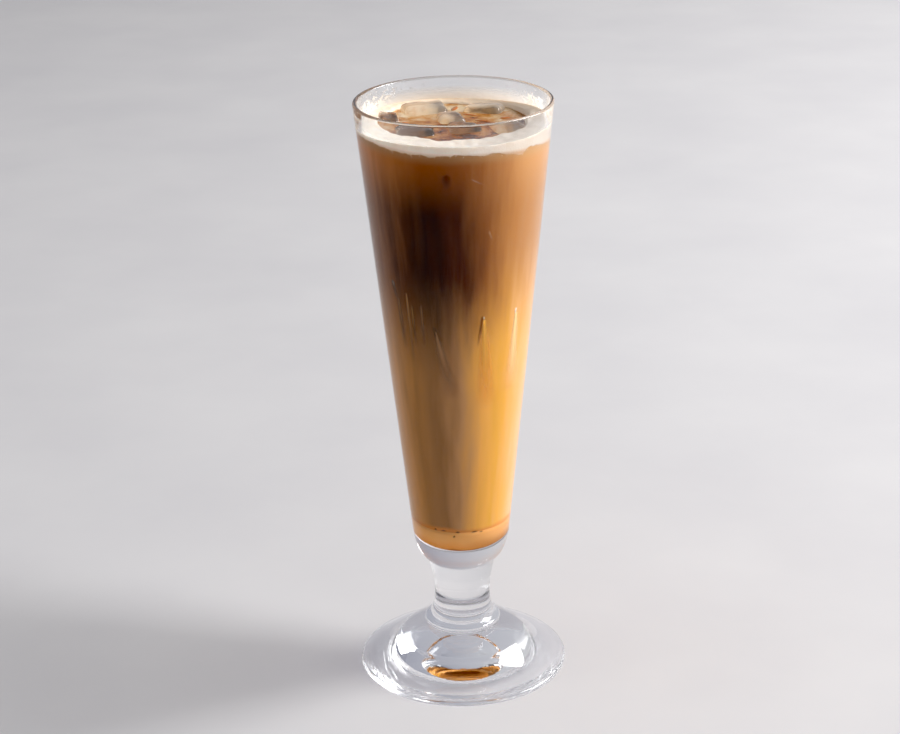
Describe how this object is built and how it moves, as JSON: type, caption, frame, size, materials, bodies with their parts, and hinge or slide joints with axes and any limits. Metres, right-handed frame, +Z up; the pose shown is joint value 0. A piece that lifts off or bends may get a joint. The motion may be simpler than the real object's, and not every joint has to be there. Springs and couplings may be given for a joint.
{
  "type": "iced caramel macchiato",
  "caption": "Iced coffee in a tall tapered glass on a short stem and domed foot: caramel, milky coffee and dark coffee in layers under a ring of milk foam and floating ice.",
  "frame": {"origin": "centre of the foot's underside, on the surface that the glass stands on", "axes": "+Z up along the glass's axis, -Y towards the viewer of the picture, +X to that viewer's right"},
  "size_m": [0.0852, 0.0852, 0.24],
  "materials": {
    "clear_glass": "clear, smooth, pressed soda-lime glass",
    "caramel_syrup": "wet amber syrup",
    "milky_coffee": "wet, cloudy light brown",
    "dark_coffee": "wet dark brown",
    "milk_foam": "matt cream with fine bubbles",
    "ice": "wet clear ice with cloudy cores"
  },
  "bodies": {
    "root": {"glass": "clear_glass", "caramel_layer": "caramel_syrup", "milk_layer": "milky_coffee", "coffee_layer": "dark_coffee", "foam_ring": "milk_foam", "ice_1": "ice", "ice_2": "ice", "ice_3": "ice", "ice_4": "ice", "ice_5": "ice", "ice_6": "ice", "ice_7": "ice"}
  },
  "joints": []
}
